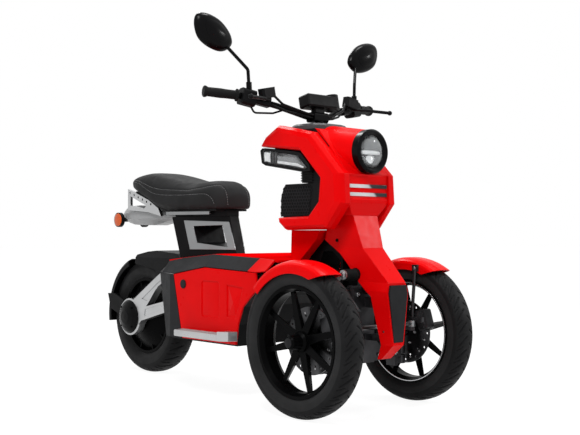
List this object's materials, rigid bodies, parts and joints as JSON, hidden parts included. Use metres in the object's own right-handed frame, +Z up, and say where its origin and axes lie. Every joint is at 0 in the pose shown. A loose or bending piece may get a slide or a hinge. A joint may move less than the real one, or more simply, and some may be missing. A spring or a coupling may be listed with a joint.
{
  "type": "electric scooter",
  "caption": "Sit-on electric scooter with steered leaning front wheels, hub motor rear wheel, flat floor deck, padded bench seat, round headlamp nose and mirrors.",
  "frame": {"origin": "middle of the whole length and width, on the ground", "axes": "+X forward, +Y to the rider's left, +Z up"},
  "size_m": [1.746, 0.9066, 1.3564],
  "materials": {
    "red_plastic": "gloss",
    "black_plastic": "satin",
    "grey_plastic": "satin",
    "black_metal": "satin",
    "silver_metal": "satin",
    "brake_metal": "brushed",
    "tyre": "matt",
    "seat_cover": "matt",
    "clear_lens": "clear",
    "amber_lens": "gloss",
    "grip_rubber": "matt"
  },
  "bodies": {
    "chassis": {"main_frame": "black_metal", "battery_pack": "grey_plastic", "deck_shell": "red_plastic", "side_panels": "red_plastic", "side_trims": "black_plastic", "underbody": "black_plastic", "footboards": "silver_metal", "seat_pillar": "black_plastic", "pillar_trims": "silver_metal", "seat_pan": "black_plastic", "seat": "seat_cover", "tail_unit": "grey_plastic", "tail_bracket": "silver_metal", "tail_indicators": "amber_lens", "swingarm": "silver_metal", "axle_caps": "black_plastic", "rear_mudguard": "black_plastic", "rear_hugger": "black_plastic", "nose_shell": "red_plastic", "cheeks": "red_plastic", "inner_cowl": "black_plastic", "headlamp_bezel": "black_plastic", "headlamp_lens": "clear_lens", "light_bars": "clear_lens", "side_lamp_housings": "black_plastic", "side_lamp_lenses": "clear_lens", "storage_bin": "black_plastic", "spine_shell": "red_plastic", "spine_insert": "black_plastic", "top_cap": "grey_plastic", "front_pillar": "black_metal", "link_arms": "black_metal", "uprights": "black_metal", "front_damper": "black_metal"},
    "handlebar": {"handlebar": "black_metal", "grips": "grip_rubber", "controls": "black_plastic", "mirrors": "black_plastic", "dash": "black_plastic", "control_cables": "black_plastic"},
    "knuckle_right": {"knuckle_right": "black_metal", "brake_right": "silver_metal", "fender_right": "red_plastic"},
    "knuckle_left": {"knuckle_left": "black_metal", "brake_left": "silver_metal", "fender_left": "red_plastic"},
    "track_rod": {"track_rod": "brake_metal"},
    "wheel_front_right": {"tyre_front_right": "tyre", "rim_front_right": "black_metal", "disc_front_right": "brake_metal"},
    "wheel_front_left": {"tyre_front_left": "tyre", "rim_front_left": "black_metal", "disc_front_left": "brake_metal"},
    "wheel_rear": {"tyre_rear": "tyre", "rim_rear": "black_metal"}
  },
  "joints": [
    {"name": "steering", "type": "hinge", "parent": "chassis", "child": "handlebar", "pos_m": [0.411, 0, 1.014], "axis": [-0.4226, 0, 0.9063], "range_deg": [-35, 35]},
    {"name": "steer_left", "type": "hinge", "parent": "chassis", "child": "knuckle_left", "pos_m": [0.623, 0.202, 0.25], "axis": [0, 0, 1], "range_deg": [-30, 30]},
    {"name": "steer_right", "type": "hinge", "parent": "chassis", "child": "knuckle_right", "pos_m": [0.623, -0.202, 0.25], "axis": [0, 0, 1], "range_deg": [-30, 30]},
    {"name": "track_slide", "type": "slide", "parent": "chassis", "child": "track_rod", "axis": [0, 1, 0], "range_m": [-0.037, 0.037]},
    {"name": "wheel_left_spin", "type": "hinge", "parent": "knuckle_left", "child": "wheel_front_left", "pos_m": [0.623, 0.2725, 0.25], "axis": [0, 1, 0], "continuous": true},
    {"name": "wheel_right_spin", "type": "hinge", "parent": "knuckle_right", "child": "wheel_front_right", "pos_m": [0.623, -0.2725, 0.25], "axis": [0, 1, 0], "continuous": true},
    {"name": "wheel_rear_spin", "type": "hinge", "parent": "chassis", "child": "wheel_rear", "pos_m": [-0.611, 0, 0.245], "axis": [0, 1, 0], "continuous": true}
  ],
  "couplings": [
    {"joint": "steer_left", "follows": "steering", "ratio": 0.85},
    {"joint": "steer_right", "follows": "steering", "ratio": 0.85},
    {"joint": "track_slide", "follows": "steering", "m_per_rad": 0.0595}
  ]
}
